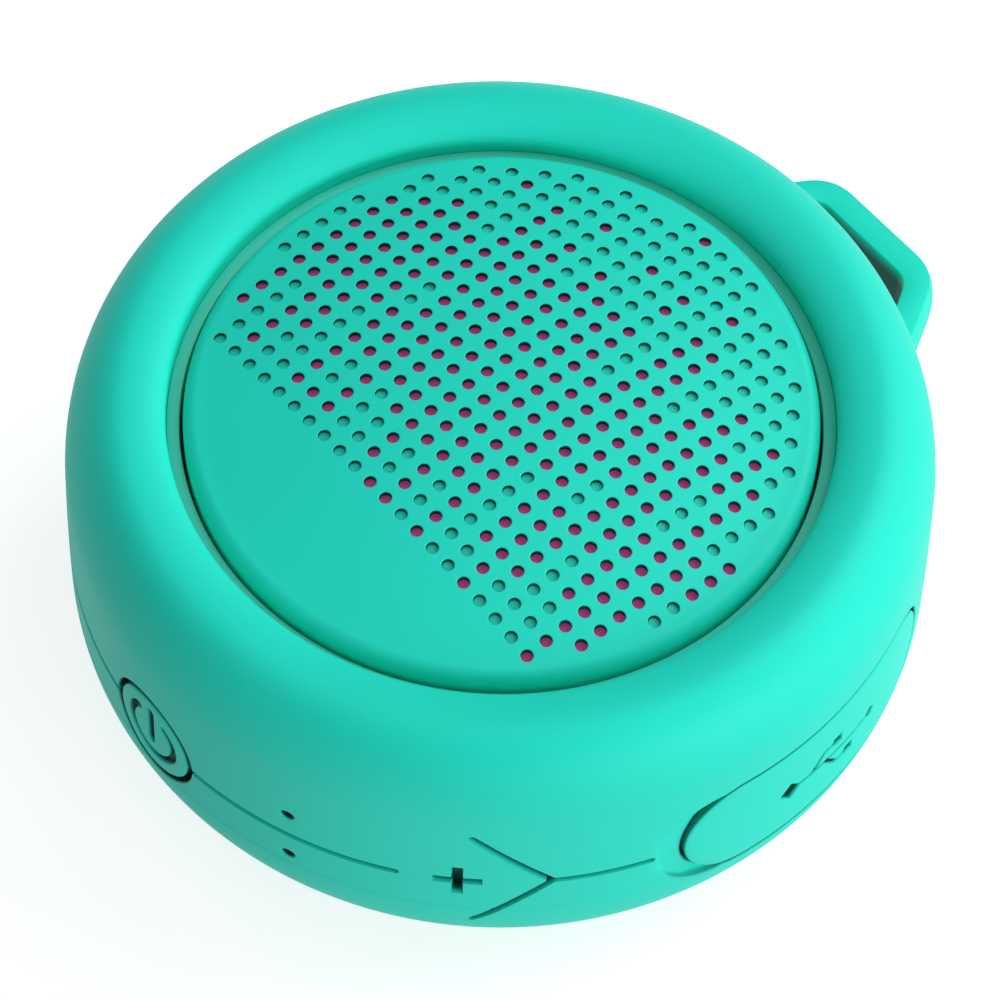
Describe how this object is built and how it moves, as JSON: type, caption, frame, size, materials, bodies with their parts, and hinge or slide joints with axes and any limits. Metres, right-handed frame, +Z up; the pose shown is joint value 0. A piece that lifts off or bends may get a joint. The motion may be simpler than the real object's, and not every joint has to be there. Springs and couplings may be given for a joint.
{
  "type": "portable bluetooth speaker",
  "caption": "Round splash-proof portable speaker: domed perforated grille in a soft silicone sleeve with a moulded strap loop, side buttons and a flap over the charging port.",
  "frame": {"origin": "centre of the flat foot, on the surface the speaker rests on", "axes": "+Z up through the grille, -Y out through the power button, +Y out through the strap loop, +X towards the charging port side"},
  "size_m": [0.086, 0.0944, 0.0408],
  "materials": {
    "silicone": "soft matt silicone, teal",
    "foot_rubber": "matt black rubber",
    "grille_plastic": "fine satin moulded plastic, teal",
    "acoustic_cloth": "fine woven acoustic cloth, magenta",
    "housing_plastic": "matt dark moulded plastic",
    "bright_steel": "zinc-plated steel",
    "magnet_ferrite": "dark sintered or moulded black body",
    "copper_wire": "enamelled copper winding",
    "cone_paper": "pressed black paper",
    "spider_cloth": "resin-stiffened woven cloth",
    "foam": "closed-cell foam tape",
    "board_laminate": "green solder-masked laminate",
    "metal_foil": "satin metal can or foil pouch",
    "led_lens": "water-clear epoxy",
    "red_insulation": "red wire insulation",
    "black_insulation": "black wire insulation"
  },
  "bodies": {
    "speaker_body": {"silicone_sleeve": "silicone", "foot_pad": "foot_rubber", "case_seal": "foot_rubber", "surround": "foot_rubber", "grille_panel": "grille_plastic", "grille_ring": "grille_plastic", "acoustic_cloth": "acoustic_cloth", "upper_housing": "housing_plastic", "lower_housing": "housing_plastic", "power_switch": "housing_plastic", "volume_up_switch": "housing_plastic", "volume_down_switch": "housing_plastic", "driver_frame": "bright_steel", "driver_top_plate": "bright_steel", "driver_yoke": "bright_steel", "usb_connector": "bright_steel", "driver_magnet": "magnet_ferrite", "amplifier_chip": "magnet_ferrite", "spider": "spider_cloth", "battery_pad": "foam", "driver_terminals": "board_laminate", "main_board": "board_laminate", "bluetooth_module": "metal_foil", "microphone": "metal_foil", "battery": "metal_foil", "status_led": "led_lens", "battery_lead_positive": "red_insulation", "speaker_lead_positive": "red_insulation", "battery_lead_negative": "black_insulation", "speaker_lead_negative": "black_insulation", "case_screw_1": "bright_steel", "driver_screw_1": "bright_steel", "case_screw_2": "bright_steel", "driver_screw_2": "bright_steel", "case_screw_3": "bright_steel", "driver_screw_3": "bright_steel", "case_screw_4": "bright_steel", "driver_screw_4": "bright_steel", "board_screw_1": "bright_steel", "board_screw_2": "bright_steel", "board_screw_3": "bright_steel"},
    "power_button": {"power_button": "silicone", "power_switch_stem": "housing_plastic"},
    "volume_up": {"volume_up_key": "grille_plastic", "volume_up_switch_stem": "housing_plastic"},
    "volume_down": {"volume_down_key": "grille_plastic", "volume_down_switch_stem": "housing_plastic"},
    "port_cover": {"port_cover": "silicone"},
    "cone": {"speaker_cone": "cone_paper", "dust_cap": "cone_paper", "voice_coil": "copper_wire"}
  },
  "joints": [
    {"name": "power_button_press", "type": "slide", "parent": "speaker_body", "child": "power_button", "axis": [0.0209, 0.9998, 0], "range_m": [0, 0.0005], "stiffness_N_per_m": 1500},
    {"name": "volume_up_press", "type": "slide", "parent": "speaker_body", "child": "volume_up", "axis": [-0.7071, 0.7071, 0], "range_m": [0, 0.0004], "stiffness_N_per_m": 1500},
    {"name": "volume_down_press", "type": "slide", "parent": "speaker_body", "child": "volume_down", "axis": [0.7071, 0.7071, 0], "range_m": [0, 0.0004], "stiffness_N_per_m": 1500},
    {"name": "port_cover_hinge", "type": "hinge", "parent": "speaker_body", "child": "port_cover", "pos_m": [0.03643, 0.02303, 0.0201], "axis": [0, 0, 1], "range_deg": [0, 110]},
    {"name": "cone_travel", "type": "slide", "parent": "speaker_body", "child": "cone", "axis": [0, 0, 1], "range_m": [-0.0008, 0.0008], "stiffness_N_per_m": 1500, "deforming": ["surround", "spider"]}
  ]
}
